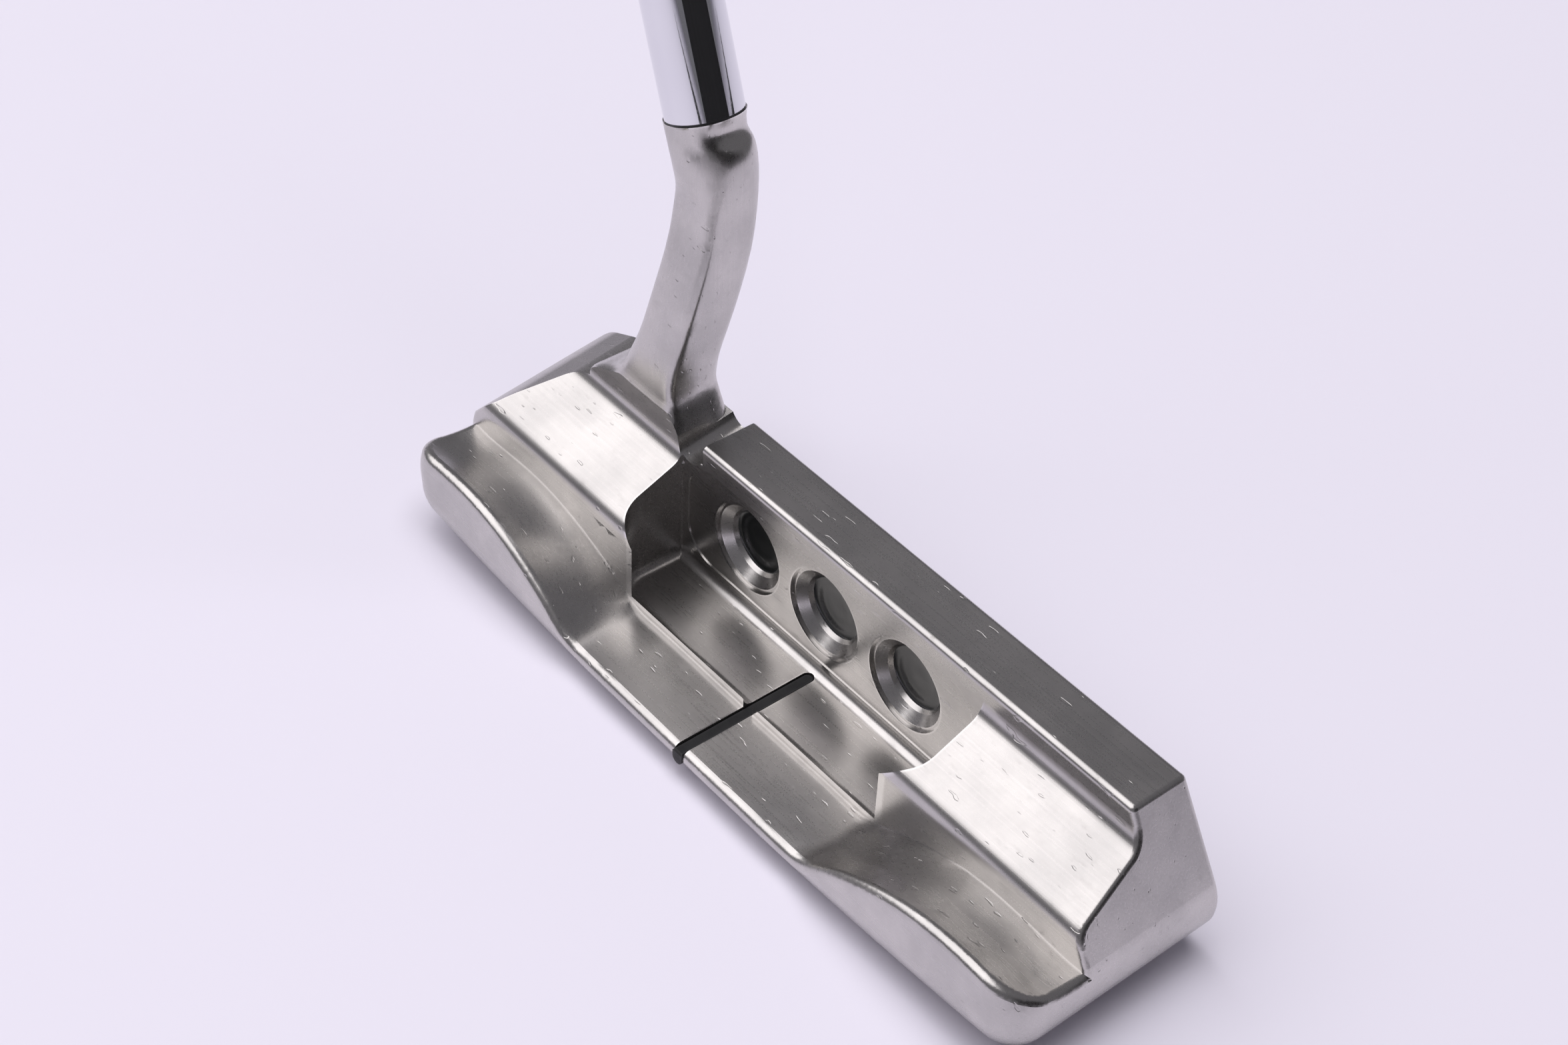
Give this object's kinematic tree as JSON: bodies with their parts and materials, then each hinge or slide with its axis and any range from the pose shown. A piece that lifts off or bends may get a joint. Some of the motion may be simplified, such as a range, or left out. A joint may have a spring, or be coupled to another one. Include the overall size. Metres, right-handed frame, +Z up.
{
  "type": "blade putter",
  "caption": "Milled steel blade putter with a flow neck, back pocket with dots, screw-in sole weights, steel shaft and pistol grip.",
  "frame": {"origin": "point of the sole that rests on the ground, under the sight line and the top edge of the face", "axes": "+Z up, +X from heel to toe, +Y towards the target (the way the face looks), flange towards -Y"},
  "size_m": [0.3828, 0.0462, 0.815],
  "materials": {
    "milled_steel": "satin",
    "weight_steel": "satin",
    "black_paint": "gloss",
    "dark_enamel": "gloss",
    "black_glue": "satin",
    "chrome_shaft": "mirror",
    "tape": "matte",
    "grip_rubber": "matte",
    "cap_rubber": "satin"
  },
  "bodies": {
    "club": {"head_body": "milled_steel", "sight_line_paint": "black_paint", "dot_enamel": "dark_enamel", "shaft_glue": "black_glue", "shaft": "chrome_shaft", "grip_tape": "tape", "grip": "grip_rubber", "grip_cap": "cap_rubber"},
    "heel_weight": {"heel_weight": "weight_steel"},
    "toe_weight": {"toe_weight": "weight_steel"}
  },
  "joints": [
    {"name": "heel_weight_removal", "type": "slide", "parent": "club", "child": "heel_weight", "axis": [-0.0786, 0, -0.9969], "range_m": [0, 0.012]},
    {"name": "toe_weight_removal", "type": "slide", "parent": "club", "child": "toe_weight", "axis": [0.0786, 0, -0.9969], "range_m": [0, 0.012]}
  ]
}
